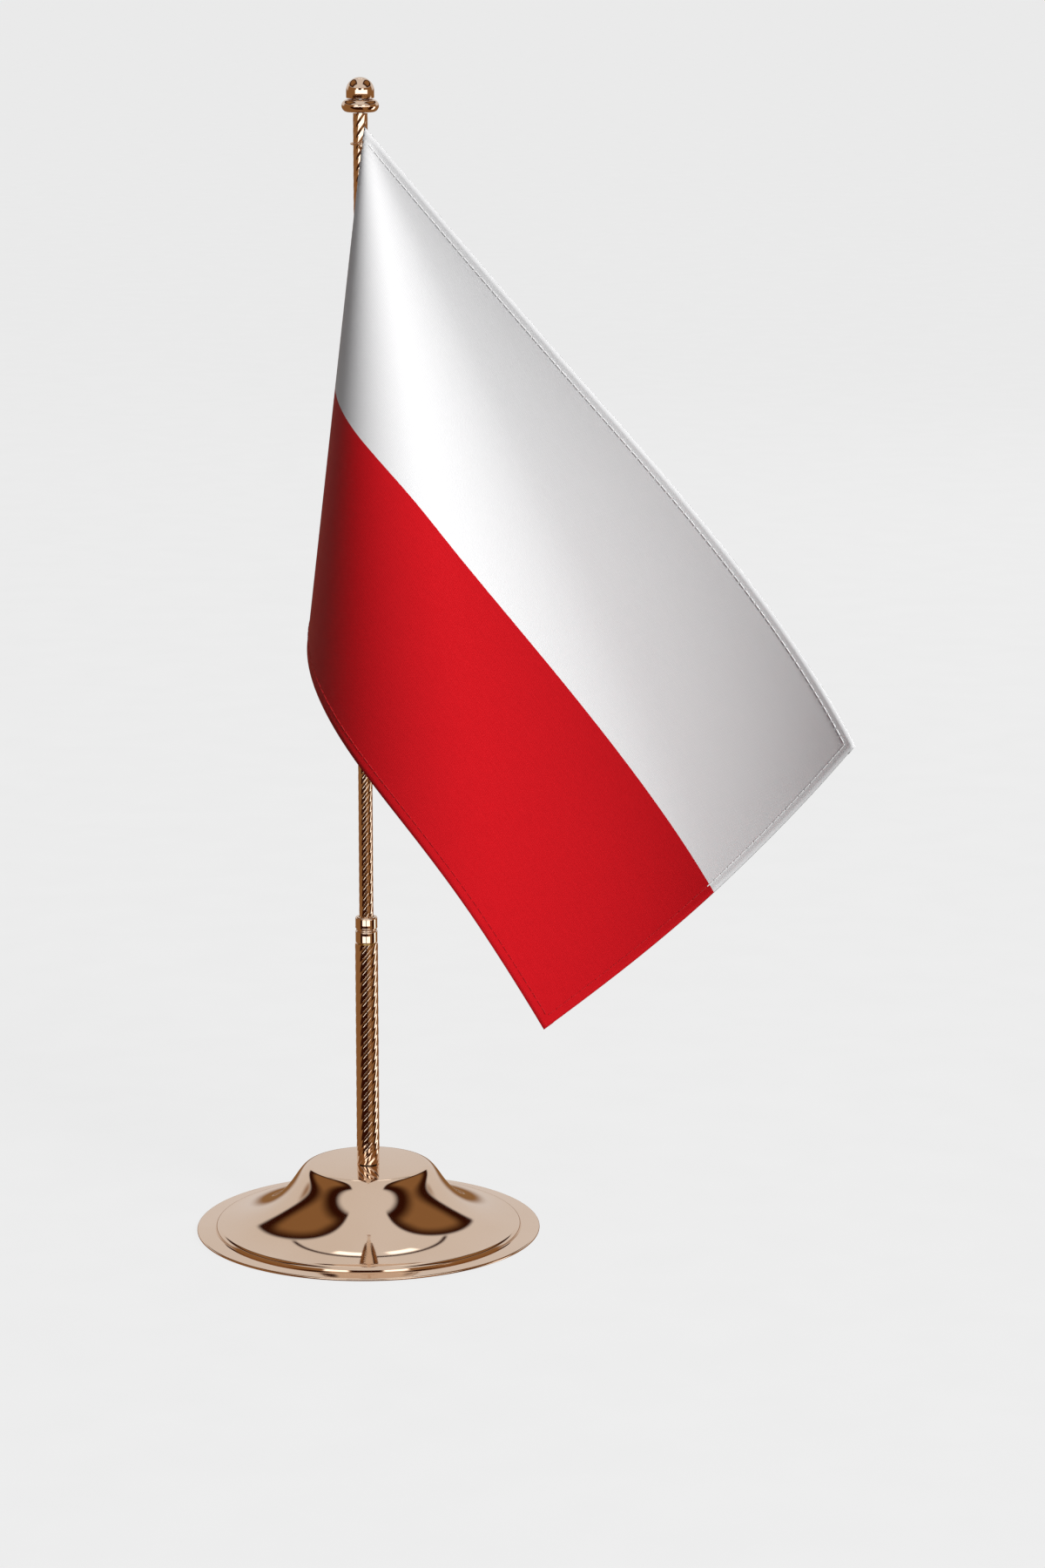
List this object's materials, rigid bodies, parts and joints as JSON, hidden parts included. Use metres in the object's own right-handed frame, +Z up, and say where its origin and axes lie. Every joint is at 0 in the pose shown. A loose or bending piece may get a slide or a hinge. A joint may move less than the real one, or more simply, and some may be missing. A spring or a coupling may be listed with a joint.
{
  "type": "desk flag stand",
  "caption": "Telescopic desk flag stand: weighted bell-shaped base, ribbed pole with a domed finial, and a draped bicolour flag.",
  "frame": {"origin": "centre of the felt pad's underside, on the pole axis, on the surface the stand rests on", "axes": "+Z up along the pole, the flag flies towards +X, the front faces -Y"},
  "size_m": [0.1808, 0.1697, 0.3329],
  "materials": {
    "plated_metal": "mirror-polished copper-gold plating",
    "felt": "pressed dark felt",
    "steel": "zinc-plated steel",
    "cast_iron": "as-cast grey iron",
    "brass": "turned brass",
    "nylon": "moulded nylon",
    "flag_fabric": "polyester satin, upper half white and lower half red"
  },
  "bodies": {
    "base": {"base_shell": "plated_metal", "base_felt_pad": "felt", "base_closing_plate": "steel", "base_ballast": "cast_iron", "clamp_washer": "steel", "clamp_bolt": "steel", "lower_tube": "plated_metal", "foot_plug": "brass", "ferrule": "plated_metal", "guide_bush": "nylon"},
    "slider": {"friction_sleeve": "brass"},
    "upper_pole": {"upper_tube": "plated_metal", "tail_plug": "brass", "top_plug": "brass", "finial_flange": "plated_metal", "finial_cap": "plated_metal", "finial_stud": "steel"},
    "flag": {"flag_cloth": "flag_fabric", "hoist_ring_1": "plated_metal", "hoist_ring_2": "plated_metal", "hoist_ring_3": "plated_metal"}
  },
  "joints": [
    {"name": "telescope_slide", "type": "slide", "parent": "base", "child": "slider", "axis": [0, 0, 1], "range_m": [-0.044, 0]},
    {"name": "pole_swivel", "type": "hinge", "parent": "slider", "child": "upper_pole", "pos_m": [0, 0, 0.1], "axis": [0, 0, 1], "continuous": true},
    {"name": "flag_swivel", "type": "hinge", "parent": "upper_pole", "child": "flag", "pos_m": [0, 0, 0.26], "axis": [0, 0, 1], "continuous": true}
  ]
}
